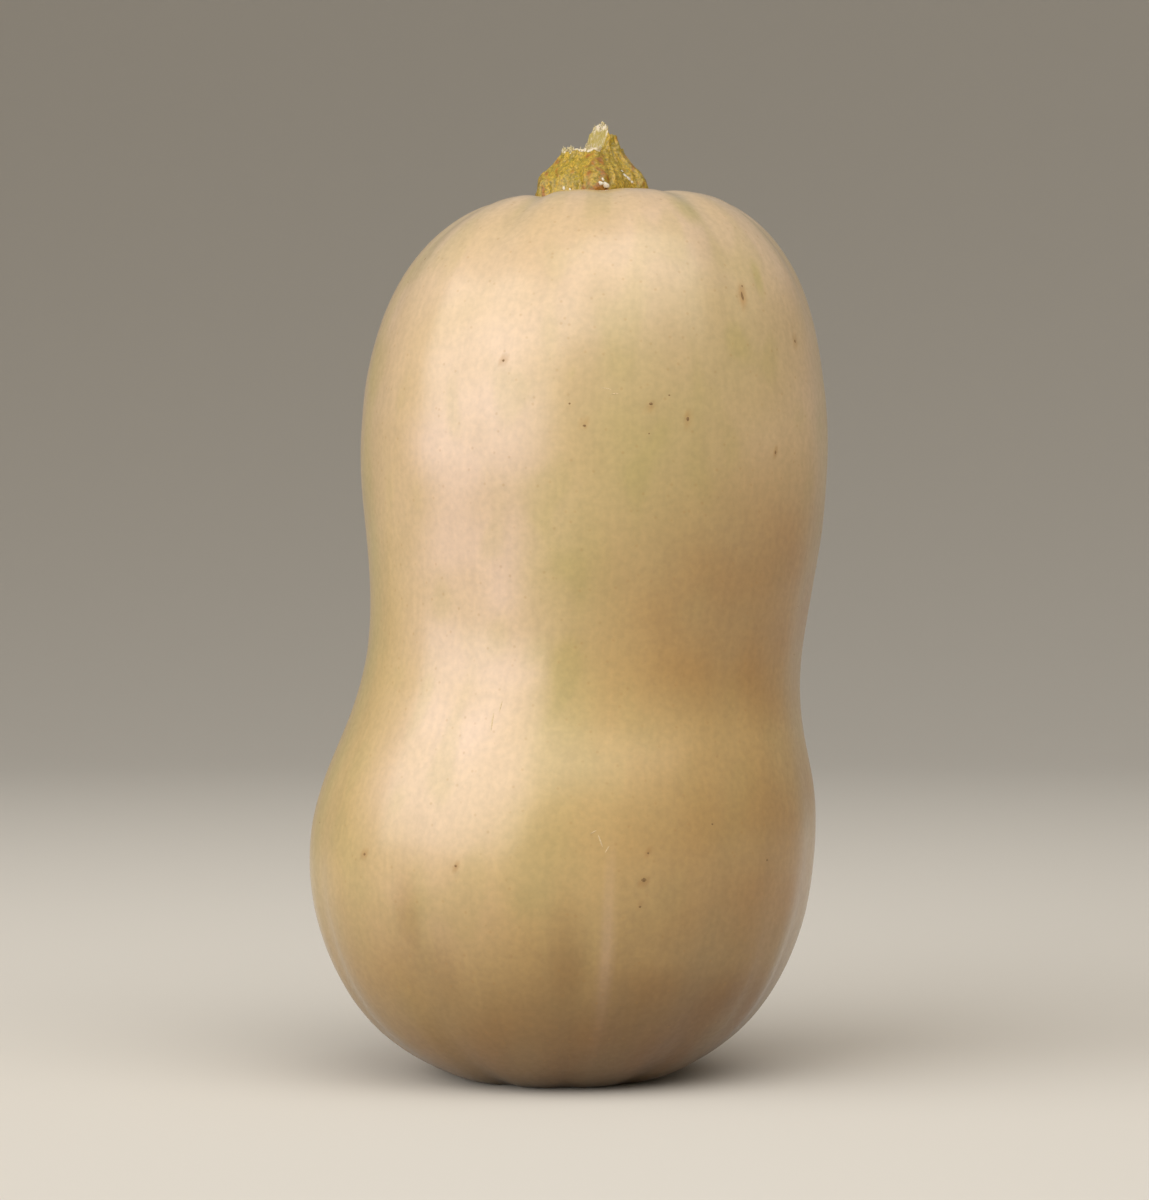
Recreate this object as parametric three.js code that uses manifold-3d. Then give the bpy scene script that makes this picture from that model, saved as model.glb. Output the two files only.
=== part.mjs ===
// A butternut squash, picked with a short broken stem and standing on its blossom end.
//
// Millimetres, +Z up. The viewer stands at -Y, with +X to the right. The origin is on the ground,
// under the middle of the fruit. Angles round the fruit start at the viewer and grow to the right.

import * as THREE from "three";
import { mergeVertices } from "three/addons/utils/BufferGeometryUtils.js";
import Module from "manifold-3d";

const wasm = await Module();
wasm.setup();

// Driving dimensions of the fruit
const BULB_RADIUS = 61; // the seed end, round the cavity
const WAIST_RADIUS = 51.6;
const NECK_RADIUS = 56.2; // the solid end
const SHOULDER_HEIGHT = 210.4; // crest of the shoulder round the stem
const SEAT_RADIUS = 15.5; // the dish that the stem grows from
const SEAT_HEIGHT = 207.8;
const FOOT_RADIUS = 22; // the flattened ring that it stands on
const DEPTH_SHARE = 0.98; // front to back, against side to side
const BULB_LEAN = -0.7; // to the left
const NECK_LEAN = 8; // from there to the right
const SHOULDER_LEAN = 2;
const SHOULDER_TILT = 1; // the right shoulder stands this much higher, and the left one lower

// Driving dimensions of the ribs
const FURROWS = 10;
const FIRST_FURROW = THREE.MathUtils.degToRad(3);
const FURROW_SHARPNESS = 2.5;
const NECK_FURROW = 0.35;
const SHOULDER_FURROW = 1;
const BULB_FURROW = 0.9;

// Driving dimensions of the stem
const STEM_X = 6.8;
const STEM_FOOT_RADIUS = 13.6;
const STEM_RADIUS = 6.8; // where it broke
const LEDGE_HEIGHT = 221.8; // the low torn side
const TIP_HEIGHT = 228.2; // the splinter that stayed up
const STEM_RIDGES = 5;
const FIRST_RIDGE = THREE.MathUtils.degToRad(7);
const STRONG_RIDGE = 0.085; // shares of the stem's radius
const SMALL_RIDGE = 0.03;
const UNEVEN_RIDGE = 0.02;
const SEAT_GAP = 0.3; // the stem's foot fills the seat up to this gap
const PITH_DEPTH = 2.2; // the hollow where the soft pith pulled out
const FIBRES = 16;
const FIBRE_ROOT = 1.5; // how deep a fibre is sunk in the ledge

// How finely the surfaces are divided
const FRUIT_COLUMNS = 100;
const FRUIT_STEPS = 2;
const STEM_COLUMNS = 60;
const STEM_STEPS = 2;
const BREAK_CELL = 1.5; // side of a square on the rough break

// Half of the fruit's outline, from the blossom scar up to the seat of the stem: radius and height of
// the points that steer a smooth curve. What dips under the ground is flattened to it.
const FRUIT_OUTLINE = [
  [0, 1.6],
  [5, 1.8],
  [10, -0.3],
  [16, -0.6],
  [FOOT_RADIUS, -0.4],
  [31, 2.3],
  [45, 11.3],
  [54.6, 25.5],
  [BULB_RADIUS - 1.5, 41],
  [BULB_RADIUS, 56],
  [BULB_RADIUS - 1.8, 71],
  [WAIST_RADIUS + 2.3, 85],
  [WAIST_RADIUS, 99],
  [WAIST_RADIUS + 0.8, 113],
  [NECK_RADIUS - 1.4, 130],
  [NECK_RADIUS, 148],
  [NECK_RADIUS - 0.9, 165],
  [52.3, 180],
  [47.5, 192.5],
  [39.6, 202.6],
  [29.5, SHOULDER_HEIGHT - 1],
  [20, SHOULDER_HEIGHT],
  [SEAT_RADIUS, SEAT_HEIGHT - 0.4],
  [SEAT_RADIUS / 2, SEAT_HEIGHT],
  [0, SEAT_HEIGHT],
];

// The stalk as it grew, before it broke off: it goes on above the break and starts inside the seat.
const STALK_OUTLINE = [
  [0, SEAT_HEIGHT - 4],
  [STEM_FOOT_RADIUS, SEAT_HEIGHT - 4],
  [STEM_FOOT_RADIUS + 0.2, SEAT_HEIGHT],
  [STEM_FOOT_RADIUS, 210.5],
  [STEM_FOOT_RADIUS - 0.3, 212.8],
  [12.2, 214.8],
  [10.8, 216.5],
  [9.1, 218.2],
  [7.7, 220],
  [STEM_RADIUS, 222],
  [STEM_RADIUS - 0.5, 224.2],
  [STEM_RADIUS - 1, 226.6],
  [STEM_RADIUS - 1.2, TIP_HEIGHT + 2],
  [0, TIP_HEIGHT + 2],
];

// The standing splinter, as distance from the stem's axis and height: from the front, and square to
// its torn face, which looks to the front and left.
const SPLINTER_FRONT = [
  [-1.1, 212],
  [8.6, 212],
  [7.6, 219.9],
  [6.9, 221.8],
  [6.1, 223.4],
  [5.8, 225.1],
  [4.7, 225.5],
  [4.1, 225],
  [3.8, 226.5],
  [3.3, 227.9],
  [2.3, TIP_HEIGHT],
  [1.2, 228],
  [0.5, 227.1],
  [-0.5, 225.6],
  [-1.1, 223.7],
];
const SPLINTER_SIDE = [
  [-2.4, 212],
  [9, 212],
  [9, 220],
  [4.4, TIP_HEIGHT + 1],
  [1.2, TIP_HEIGHT + 1],
  [-1.2, 222.5],
];
const SPLINTER_TURN = THREE.MathUtils.degToRad(38);

// Goes smoothly from 0 below the low value to 1 above the high one.
const rise = (value, low, high) => THREE.MathUtils.smoothstep(value, low, high);

// Points along the cubic B-spline that a half outline steers. It crosses the axis level at both ends.
function smoothOutline(outline, steps) {
  const mirrored = ([radius, height]) => [-radius, height];
  const steer = [mirrored(outline[1]), ...outline, mirrored(outline.at(-2))];
  const points = [];
  for (let span = 0; span < outline.length - 1; span++) {
    const last = span === outline.length - 2 ? 1 : 0;
    for (let step = 0; step < steps + last; step++) {
      const t = step / steps;
      const weights = [
        (1 - t) ** 3,
        3 * t ** 3 - 6 * t ** 2 + 4,
        -3 * t ** 3 + 3 * t ** 2 + 3 * t + 1,
        t ** 3,
      ];
      const along = (axis) =>
        weights.reduce((sum, w, i) => sum + (w / 6) * steer[span + i][axis], 0);
      points.push(new THREE.Vector2(Math.max(0, along(0)), along(1)));
    }
  }
  points[0].x = 0;
  points.at(-1).x = 0;
  return points;
}

// How deep into a furrow a direction round the fruit lies: 1 in the middle of a furrow, 0 on a rib.
// No two furrows are quite alike.
function furrowAt(angle) {
  const turn = angle - FIRST_FURROW;
  const number = Math.round((turn * FURROWS) / (2 * Math.PI));
  const strength = 0.8 - 0.3 * Math.sin(2.4 * number + 1);
  return strength * (0.5 + 0.5 * Math.cos(FURROWS * turn)) ** FURROW_SHARPNESS;
}

// The furrows are deepest on the shoulder and under the bulb, faint on the neck, and stop short of the
// seat and of the foot.
function furrowDepth(radius, height) {
  const shoulder = SHOULDER_FURROW * rise(height, 172, 206);
  const bulb = BULB_FURROW * (1 - rise(height, 30, 95));
  return (NECK_FURROW + shoulder + bulb) * rise(radius, SEAT_RADIUS, 26);
}

// How far right the middle of the fruit lies at a height. The seat stays under the stem.
function middleAt(radius, height) {
  const neck = NECK_LEAN * rise(height, 44, 132);
  const shoulder = SHOULDER_LEAN * rise(height, 165, 206);
  const seat = rise(height, 195, 206) * (1 - rise(radius, SEAT_RADIUS, 32));
  return THREE.MathUtils.lerp(BULB_LEAN + neck + shoulder, STEM_X, seat);
}

// Revolves an outline about +Z and moves each point by shape(point, normal, angle, radius).
function turned(outline, steps, columns, shape) {
  const geometry = new THREE.LatheGeometry(smoothOutline(outline, steps), columns);
  geometry.rotateX(Math.PI / 2);
  const place = geometry.getAttribute("position");
  const facing = geometry.getAttribute("normal");
  const point = new THREE.Vector3();
  const normal = new THREE.Vector3();
  for (let i = 0; i < place.count; i++) {
    point.fromBufferAttribute(place, i);
    normal.fromBufferAttribute(facing, i);
    shape(point, normal, Math.atan2(point.x, -point.y), Math.hypot(point.x, point.y));
    place.setXYZ(i, point.x, point.y, point.z);
  }
  return geometry;
}

function solidOf(geometry) {
  const bare = geometry.index ? geometry.toNonIndexed() : geometry.clone();
  bare.deleteAttribute("normal");
  bare.deleteAttribute("uv");
  const merged = mergeVertices(bare, 1e-4);
  return new wasm.Manifold(
    new wasm.Mesh({
      numProp: 3,
      vertProperties: new Float32Array(merged.getAttribute("position").array),
      triVerts: new Uint32Array(merged.index.array),
    }),
  );
}

function geometryOf(solid) {
  const mesh = solid.getMesh();
  const geometry = new THREE.BufferGeometry();
  geometry.setAttribute("position", new THREE.BufferAttribute(mesh.vertProperties, 3));
  geometry.setIndex(new THREE.BufferAttribute(mesh.triVerts, 1));
  const faceted = geometry.toNonIndexed();
  faceted.computeVertexNormals();
  return faceted;
}

// The fruit: the turned outline with its furrows pressed in along the surface, then leaned over.
function makeFruit() {
  const furrowed = (point, normal, angle, radius) => {
    const height = point.z;
    point.addScaledVector(normal, -furrowDepth(radius, height) * furrowAt(angle));
    const tilt = SHOULDER_TILT * Math.sin(angle);
    point.z += tilt * rise(height, 190, SHOULDER_HEIGHT) * rise(radius, 10, 20);
    point.z = Math.max(0, point.z);
    point.y *= DEPTH_SHARE;
    point.x += middleAt(radius, height);
  };
  return solidOf(turned(FRUIT_OUTLINE, FRUIT_STEPS, FRUIT_COLUMNS, furrowed));
}

// The whole stalk, before the break: five strong ridges with smaller ones between them.
function makeStalk() {
  const ridged = (point, normal, angle) => {
    const turn = angle - FIRST_RIDGE;
    const strong = STRONG_RIDGE * Math.cos(STEM_RIDGES * turn);
    const small = SMALL_RIDGE * Math.cos(2 * STEM_RIDGES * turn + 1.2);
    const uneven = UNEVEN_RIDGE * Math.cos(3 * turn + 0.6);
    const swell = 1 + strong + small + uneven;
    point.x *= swell;
    point.y *= swell;
  };
  return solidOf(turned(STALK_OUTLINE, STEM_STEPS, STEM_COLUMNS, ridged));
}

// Height of the torn ledge: rough, a little higher at the back, and hollow where the pith pulled out.
function breakHeight(x, y) {
  const pith = PITH_DEPTH * Math.exp(-((x + 1) ** 2 + (y - 0.5) ** 2) / 9);
  const rough = 0.35 * Math.sin(2.1 * x + 0.7) * Math.cos(1.7 * y);
  return LEDGE_HEIGHT - pith + rough + 0.05 * y;
}

// A block that takes in all of the stalk that lies under the break.
function makeLedgeBlock() {
  const side = 4 * STEM_FOOT_RADIUS;
  const cells = Math.round(side / BREAK_CELL);
  const block = new THREE.BoxGeometry(side, side, 2, cells, cells, 1);
  const place = block.getAttribute("position");
  for (let i = 0; i < place.count; i++) {
    const top = breakHeight(place.getX(i), place.getY(i));
    place.setZ(i, place.getZ(i) > 0 ? top : SEAT_HEIGHT - 10);
  }
  return solidOf(block);
}

// A flat outline pushed from one side to the other of the stem.
function slab(outline) {
  const width = 4 * STEM_RADIUS;
  const shape = new THREE.Shape(outline.map(([across, height]) => new THREE.Vector2(across, height)));
  const geometry = new THREE.ExtrudeGeometry(shape, { depth: width, bevelEnabled: false });
  return geometry.translate(0, 0, -width / 2).rotateX(Math.PI / 2);
}

function makeSplinter() {
  const front = solidOf(slab(SPLINTER_FRONT));
  const side = solidOf(slab(SPLINTER_SIDE).rotateZ(Math.PI / 2 - SPLINTER_TURN));
  return front.intersect(side);
}

// A small repeatable random number from 0 to 1 for each whole number.
const scatter = (n) => Math.abs(Math.sin(n * 12.9898 + 4.1414) * 43758.5453) % 1;

// Stiff fibres that stand up round the low side of the break, with their roots inside the ledge.
function makeFibres() {
  return Array.from({ length: FIBRES }, (_, i) => {
    const angle = THREE.MathUtils.degToRad(-200 + (200 * (i + scatter(i))) / FIBRES);
    const radius = STEM_RADIUS - 0.8 - 0.5 * scatter(i + 50);
    const length = FIBRE_ROOT + 1 + 1.1 * scatter(i + 100);
    const fibre = new THREE.ConeGeometry(0.7 + 0.3 * scatter(i + 150), length, 5);
    fibre.rotateX(Math.PI / 2);
    fibre.translate(0, 0, length / 2 - FIBRE_ROOT);
    fibre.rotateX(0.5 * (scatter(i + 200) - 0.5));
    fibre.rotateY(0.5 * (scatter(i + 250) - 0.5));
    fibre.translate(radius * Math.sin(angle), -radius * Math.cos(angle), LEDGE_HEIGHT - 0.3);
    return solidOf(fibre);
  });
}

// The stem: the stalk up to the torn ledge, with the splinter and fibres left standing, and its
// foot fitted to the seat. Scraps that the fitting leaves under the seat are dropped.
function makeStem(fruit) {
  const kept = makeLedgeBlock().add(makeSplinter());
  const broken = makeStalk().intersect(kept);
  const frayed = makeFibres().reduce((whole, fibre) => whole.add(fibre), broken);
  const placed = frayed.translate([STEM_X, 0, 0]);
  const fitted = placed.subtract(fruit.translate([0, 0, SEAT_GAP]));
  return fitted.decompose().reduce((a, b) => (a.volume() > b.volume() ? a : b));
}

const fruitSolid = makeFruit();
const stemSolid = makeStem(fruitSolid);

const fruit = new THREE.Mesh(
  geometryOf(fruitSolid),
  new THREE.MeshStandardMaterial({ color: 0xdcbf8d, roughness: 0.5, metalness: 0 }),
);
fruit.name = "fruit";

const stem = new THREE.Mesh(
  geometryOf(stemSolid),
  new THREE.MeshStandardMaterial({ color: 0x9c8438, roughness: 0.75, metalness: 0 }),
);
stem.name = "stem";

const squash = new THREE.Group();
squash.add(fruit, stem);

// The squash is set down with the middle of its bounding box over the origin.
const middle = new THREE.Box3().setFromObject(squash).getCenter(new THREE.Vector3());
squash.position.set(-middle.x, -middle.y, 0);

export default squash;
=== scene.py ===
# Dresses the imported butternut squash: its waxy skin, its torn stem and a plain studio to see it in.
# Forms are worked out in millimetres and turned to metres when a mesh is made. Angles round the fruit
# and the stem start at the viewer, at -Y, and grow to the right.

import math
import random

import bpy
import numpy as np
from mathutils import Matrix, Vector, noise


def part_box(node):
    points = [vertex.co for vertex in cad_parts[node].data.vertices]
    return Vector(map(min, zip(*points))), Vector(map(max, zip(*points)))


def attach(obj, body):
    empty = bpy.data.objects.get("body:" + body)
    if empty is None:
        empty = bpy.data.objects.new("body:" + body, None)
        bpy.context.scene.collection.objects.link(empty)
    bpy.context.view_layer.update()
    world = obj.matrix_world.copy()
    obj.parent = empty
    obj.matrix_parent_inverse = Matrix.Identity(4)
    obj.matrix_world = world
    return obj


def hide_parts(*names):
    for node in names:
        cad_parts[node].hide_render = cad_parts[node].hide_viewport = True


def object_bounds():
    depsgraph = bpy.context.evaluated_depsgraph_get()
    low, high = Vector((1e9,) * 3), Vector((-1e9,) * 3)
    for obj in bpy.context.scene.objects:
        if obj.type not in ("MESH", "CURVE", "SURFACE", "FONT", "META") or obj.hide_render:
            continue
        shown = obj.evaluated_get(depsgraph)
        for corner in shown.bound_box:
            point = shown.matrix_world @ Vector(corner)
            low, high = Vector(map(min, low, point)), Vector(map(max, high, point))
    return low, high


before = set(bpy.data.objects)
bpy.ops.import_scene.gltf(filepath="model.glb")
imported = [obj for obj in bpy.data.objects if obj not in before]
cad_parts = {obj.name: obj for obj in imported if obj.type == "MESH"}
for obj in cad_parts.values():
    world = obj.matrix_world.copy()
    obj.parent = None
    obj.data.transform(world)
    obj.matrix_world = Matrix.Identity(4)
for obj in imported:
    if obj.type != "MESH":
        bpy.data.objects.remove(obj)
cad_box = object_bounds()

bl_info = {
    "name": "Butternut Squash",
    "version": (1, 0, 0),
    "blender": (4, 5, 0),
    "location": "View3D > Sidebar > Squash",
    "description": "Grows a butternut squash with a torn stem and sets it in a plain studio",
    "category": "Add Mesh",
}

MM = 0.001

# Driving dimensions of the fruit
BULB_RADIUS = 61
WAIST_RADIUS = 51.6
NECK_RADIUS = 56.2
SHOULDER_HEIGHT = 210.4
SEAT_RADIUS = 15.5
SEAT_HEIGHT = 207.8
FOOT_RADIUS = 22
DEPTH_SHARE = 0.98
BULB_LEAN = -0.7
NECK_LEAN = 8
SHOULDER_LEAN = 2
SHOULDER_TILT = 1

# Driving dimensions of the ribs
FURROWS = 10
FIRST_FURROW = math.radians(3)
FURROW_SHARPNESS = 2.5
NECK_FURROW = 0.35
SHOULDER_FURROW = 0.55
BULB_FURROW = 0.35
VEIN_PITCH = 25

# Driving dimensions of the stem
STEM_X = 6.8
STEM_FOOT_RADIUS = 13.2
STEM_RADIUS = 6.8
LEDGE_HEIGHT = 221.8
TIP_HEIGHT = 228.2
STEM_RIDGES = 5
FIRST_RIDGE = math.radians(7)
STRONG_RIDGE = 0.085
SMALL_RIDGE = 0.03
UNEVEN_RIDGE = 0.02
PITH_DEPTH = 2.2
SPLINTER_TURN = math.radians(38)

# Half of the fruit's outline, from the blossom scar up to the seat of the stem: radius and height of
# the points that steer a smooth curve. What dips under the ground is flattened to it.
FRUIT_OUTLINE = [
    (0, 1.6),
    (5, 1.8),
    (10, -0.3),
    (16, -0.6),
    (FOOT_RADIUS, -0.4),
    (31, 2.3),
    (45, 11.3),
    (54.6, 25.5),
    (BULB_RADIUS - 1.5, 41),
    (BULB_RADIUS, 56),
    (BULB_RADIUS - 1.8, 71),
    (WAIST_RADIUS + 2.3, 85),
    (WAIST_RADIUS, 99),
    (WAIST_RADIUS + 0.8, 113),
    (NECK_RADIUS - 1.4, 130),
    (NECK_RADIUS, 148),
    (NECK_RADIUS - 0.9, 165),
    (52.3, 180),
    (47.5, 192.5),
    (39.6, 202.6),
    (29.5, SHOULDER_HEIGHT - 1),
    (20, SHOULDER_HEIGHT),
    (SEAT_RADIUS, SEAT_HEIGHT - 0.4),
    (SEAT_RADIUS / 2, SEAT_HEIGHT),
    (0, SEAT_HEIGHT),
]

# The stalk as it grew, before it broke off.
STALK_OUTLINE = [
    (0, SEAT_HEIGHT - 4),
    (STEM_FOOT_RADIUS, SEAT_HEIGHT - 4),
    (STEM_FOOT_RADIUS + 0.2, SEAT_HEIGHT),
    (STEM_FOOT_RADIUS, 210.5),
    (STEM_FOOT_RADIUS - 0.3, 212.8),
    (12.2, 214.8),
    (10.8, 216.5),
    (9.1, 218.2),
    (7.7, 220),
    (STEM_RADIUS, 222),
    (STEM_RADIUS - 0.5, 224.2),
    (STEM_RADIUS - 1, 226.6),
    (STEM_RADIUS - 1.2, TIP_HEIGHT + 2),
    (0, TIP_HEIGHT + 2),
]

# Upper edge of the standing splinter, as distance from the stem's axis and height: from the front,
# and square to its torn face, which looks to the front and left.
SPLINTER_FRONT = [
    (-1.1, 223.7),
    (-0.5, 225.6),
    (0.5, 227.1),
    (1.2, 228),
    (2.3, TIP_HEIGHT),
    (3.3, 227.9),
    (3.8, 226.5),
    (4.1, 225),
    (4.7, 225.5),
    (5.8, 225.1),
    (6.1, 223.4),
    (6.9, 221.8),
    (7.6, 219.9),
    (8.6, 212),
]
SPLINTER_SIDE = [
    (-2.4, 212),
    (-1.2, 222.5),
    (1.2, TIP_HEIGHT + 1),
    (4.4, TIP_HEIGHT + 1),
    (9, 220),
]

# Low relief, in layers of lumps: how far they stand out, how wide they are, and a factor on the height
# that draws them out lengthwise where it is below 1. Lumps of the skin and grooves of the bark are
# laid on tubes of these radii.
RELIEF_RADIUS = 45
SKIN_RELIEF = [
    (0.45, 38, 1),
    (0.14, 15, 1),
    (0.025, 4.5, 1),
    (0.015, 5, 0.12),
]
BARK_RADIUS = 11
BARK_KNOBS = [
    (0.22, 1.9, 1),
    (0.14, 0.8, 1),
]
BARK_GROOVES = [(0.42, 1.4, 0.35)]
WOOD_SPLITS = [(0.3, 0.55, 0.14)]
LEDGE_SPLITS = [
    (0.5, 0.9, 1),
    (0.3, 0.45, 1),
]

# Fine light lines that run up the bulb between two shallow troughs: angle in degrees, the heights
# that they start and end at, and how far they stand out.
VEINS = [
    (10, 4, 62, 0.2),
    (-30, 6, 50, 0.12),
    (64, 8, 52, 0.14),
    (118, 8, 58, 0.18),
    (171, 6, 66, 0.2),
    (-132, 10, 56, 0.16),
    (-76, 8, 60, 0.14),
]

# Colours and streaks of the skin are laid on a tube of one radius, drawn in at its ends.
PATTERN_RADIUS = 55

# Soft zones of the skin: angle in degrees, height, half width and half length in millimetres, and
# strength. First those where green shows through, and one band of painted shade. Then paler and pinker
# ones, some of which are a painted sheen. Then browner ones, some of which are painted shade.
GREEN_AND_SHADE_ZONES = [
    (14, 150, 24, 32, 0.8),
    (-5, 122, 12, 24, 0.8),
    (-3, 90, 8, 30, 0.7),
    (-6, 58, 8, 16, 0.5),
    (32, 172, 24, 24, 0.6),
    (48, 187, 1.8, 6, 0.9),
    (31, 204, 3, 4, 0.8),
    (-5.5, 165, 1.4, 1.8, 0.7),
    (23, 172, 1.2, 2.6, 0.7),
    (-33, 42, 3.5, 14, 0.4),
    (-52, 46, 5, 16, 0.4),
    # Painted shade: a long narrow olive band down the left edge, as seen from the front.
    (-74, 110, 5, 90, 0.7),
    (96, 150, 22, 40, 0.5),
    (150, 175, 18, 26, 0.7),
    (-150, 120, 22, 44, 0.6),
    (-100, 190, 14, 16, 0.5),
]
PALE_AND_SHEEN_ZONES = [
    # Painted sheen: this zone and the next two, on the left front, and the one on the right shoulder.
    (-30, 142, 27, 50, 1),
    (-29, 108, 24, 26, 1),
    (-30, 80, 24, 30, 0.9),
    (26, 194, 34, 16, 0.9),
    (-31, 46, 20, 18, 0.4),
    (10.5, 30, 1.7, 24, 0.65),
    (110, 80, 20, 28, 0.4),
    (-120, 150, 22, 40, 0.7),
    (175, 70, 18, 22, 0.6),
]
BROWN_AND_SHADE_ZONES = [
    (2, 24, 8, 24, 0.6),
    (20, 26, 6, 24, 0.4),
    # Painted shade: this zone and those at 30, 58 and 62 degrees, on the right of the bulb and the
    # waist.
    (50, 14, 60, 24, 1),
    (30, 38, 16, 16, 0.5),
    (-36, 38, 5, 14, 0.4),
    (-29, 29, 5, 12, 0.4),
    (58, 110, 50, 32, 0.75),
    (62, 46, 56, 44, 0.7),
    (150, 40, 24, 30, 0.5),
    (-100, 40, 18, 26, 0.5),
]

# Small dark corky specks on the front: angle in degrees, height, width and length. Others are
# strewn over the sides and the back.
SEEN_SPECKS = [
    (40.5, 183.5, 1, 2.6),
    (41.2, 186, 0.6, 0.7),
    (-22.5, 168, 0.8, 0.8),
    (-6, 158, 0.6, 0.6),
    (-2.5, 153, 1, 0.7),
    (13, 158, 1.1, 0.8),
    (17.5, 160, 0.6, 0.5),
    (22, 154.7, 0.9, 1.2),
    (12.5, 151.3, 0.5, 0.4),
    (59.5, 174, 1, 1),
    (48, 147.8, 0.8, 1.1),
    (-48.5, 56, 1, 0.9),
    (-23, 54.5, 0.8, 0.7),
    (18, 51.5, 1.6, 1.2),
    (18.6, 57.5, 0.7, 0.6),
    (17.5, 45.5, 0.8, 0.6),
    (34, 63.5, 0.7, 0.6),
    (51, 54.5, 0.9, 0.8),
]

# Pale healed scratches: angle, height, width, length and the slope of the scratch in degrees.
SEEN_SCARS = [
    (-20.5, 86.4, 0.35, 7, 4),
    (-19.2, 90, 0.3, 3.5, -6),
    (2.5, 161.4, 0.35, 3.4, 78),
    (4.5, 160.2, 0.3, 2.4, 96),
    (8, 60.4, 0.45, 3.6, 24),
    (9.6, 58.6, 0.35, 2.4, -30),
    (6.4, 62.4, 0.35, 2.2, -58),
]

# Soft boxes, at the left and above the front: name, place and size in metres, and colour. They spread
# less than half a turn, in degrees, so that their own edge stays off the floor.
SOFTBOXES = [
    ("key", (-0.81, -0.59, 0.57), (1.6, 1.0), "FFFFFF"),
    ("top", (0.35, -0.8, 1.25), (1.7, 1.3), "FFFAF4"),
]
SOFTBOX_SPREAD = 130

# Drops of dried sap on the stem: angle, height and radius.
SAP_DROPS = [
    (13, 212, 0.8),
    (8, 212.3, 0.55),
    (10.5, 213.3, 0.35),
    (52, 214.3, 0.7),
    (48, 215, 0.5),
    (56, 213.5, 0.45),
    (46, 216.1, 0.3),
    (-33, 211.6, 0.4),
    (-26, 211.2, 0.35),
    (150, 213.4, 0.7),
    (-120, 214, 0.55),
]


def linear(code):
    """Turns an sRGB hex code into linear red, green, blue and alpha."""
    shares = [int(code[i : i + 2], 16) / 255 for i in (0, 2, 4)]
    curve = [c / 12.92 if c <= 0.04045 else ((c + 0.055) / 1.055) ** 2.4 for c in shares]
    return (*curve, 1)


def rise(value, low, high):
    """Goes smoothly from 0 below the low value to 1 above the high one."""
    share = np.clip((value - low) / (high - low), 0, 1)
    return share * share * (3 - 2 * share)


def scattered(points, size):
    """Smooth noise from -1 to 1 at points in millimetres, with lumps of about that size."""
    return np.array([noise.noise(Vector(p)) for p in np.asarray(points) / size])


def relief_at(points, layers):
    """Adds up layers of noise: height, width and lengthwise squeeze of the lumps of each."""
    return sum(lift * scattered(points * (1, 1, squeeze), size) for lift, size, squeeze in layers)


def turn_from(middle, angle):
    """The turn from a middle direction to others, up to half a turn either way."""
    return (angle - middle + math.pi) % (2 * math.pi) - math.pi


def around(radius, angle, height):
    """Points at distances from an upright axis, at angles round it and at heights."""
    return np.stack([radius * np.sin(angle), -radius * np.cos(angle), height], axis=1)


def smooth_outline(outline, steps):
    """Points and outward normals along the cubic B-spline that a half outline steers."""
    first, last = outline[1], outline[-2]
    steer = np.array([(-first[0], first[1]), *outline, (-last[0], last[1])], float)
    count = (len(outline) - 1) * steps + 1
    place = np.linspace(0, len(outline) - 1, count)
    span = np.minimum(place.astype(int), len(outline) - 2)
    t = place - span
    weights = [(1 - t) ** 3, 3 * t**3 - 6 * t**2 + 4, -3 * t**3 + 3 * t**2 + 3 * t + 1, t**3]
    slopes = [-3 * (1 - t) ** 2, 9 * t**2 - 12 * t, -9 * t**2 + 6 * t + 3, 3 * t**2]
    points = sum(w[:, None] / 6 * steer[span + i] for i, w in enumerate(weights))
    along = sum(s[:, None] / 6 * steer[span + i] for i, s in enumerate(slopes))
    along /= np.linalg.norm(along, axis=1)[:, None]
    points[[0, -1], 0] = 0
    return points, np.stack([along[:, 1], -along[:, 0]], axis=1)


def furrow_at(angle):
    """How deep into a furrow a direction lies: 1 in the middle of a strong furrow, 0 on a rib."""
    turn = turn_from(FIRST_FURROW, angle)
    number = np.round(turn * FURROWS / (2 * math.pi))
    strength = 0.8 - 0.3 * np.sin(2.4 * number + 1)
    return strength * (0.5 + 0.5 * np.cos(FURROWS * turn)) ** FURROW_SHARPNESS


def furrow_depth(radius, height):
    """Furrows are deepest on the shoulder and under the bulb, and stop short of seat and foot."""
    shoulder = SHOULDER_FURROW * rise(height, 172, 206)
    bulb = BULB_FURROW * (1 - rise(height, 30, 95))
    return (NECK_FURROW + shoulder + bulb) * rise(radius, SEAT_RADIUS, 26)


def middle_at(radius, height):
    """How far right the middle of the fruit lies at a height. The seat stays under the stem."""
    neck = NECK_LEAN * rise(height, 44, 132)
    shoulder = SHOULDER_LEAN * rise(height, 165, 206)
    seat = rise(height, 195, 206) * (1 - rise(radius, SEAT_RADIUS, 32))
    return (BULB_LEAN + neck + shoulder) * (1 - seat) + STEM_X * seat


def vein_relief(angle, height):
    """How far the fine lines on the bulb stand out, with a trough on each side of them."""
    relief = np.zeros_like(angle)
    for degrees, start, end, lift in VEINS:
        wander = 0.012 * np.sin(height / 9 + degrees)
        off = turn_from(math.radians(degrees) + wander, angle)
        across = np.cos(np.clip(off * VEIN_PITCH, -1.5 * math.pi, 1.5 * math.pi))
        reach = rise(height, start, start + 12) * (1 - rise(height, end - 24, end))
        relief += lift * reach * across
    return relief


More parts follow.
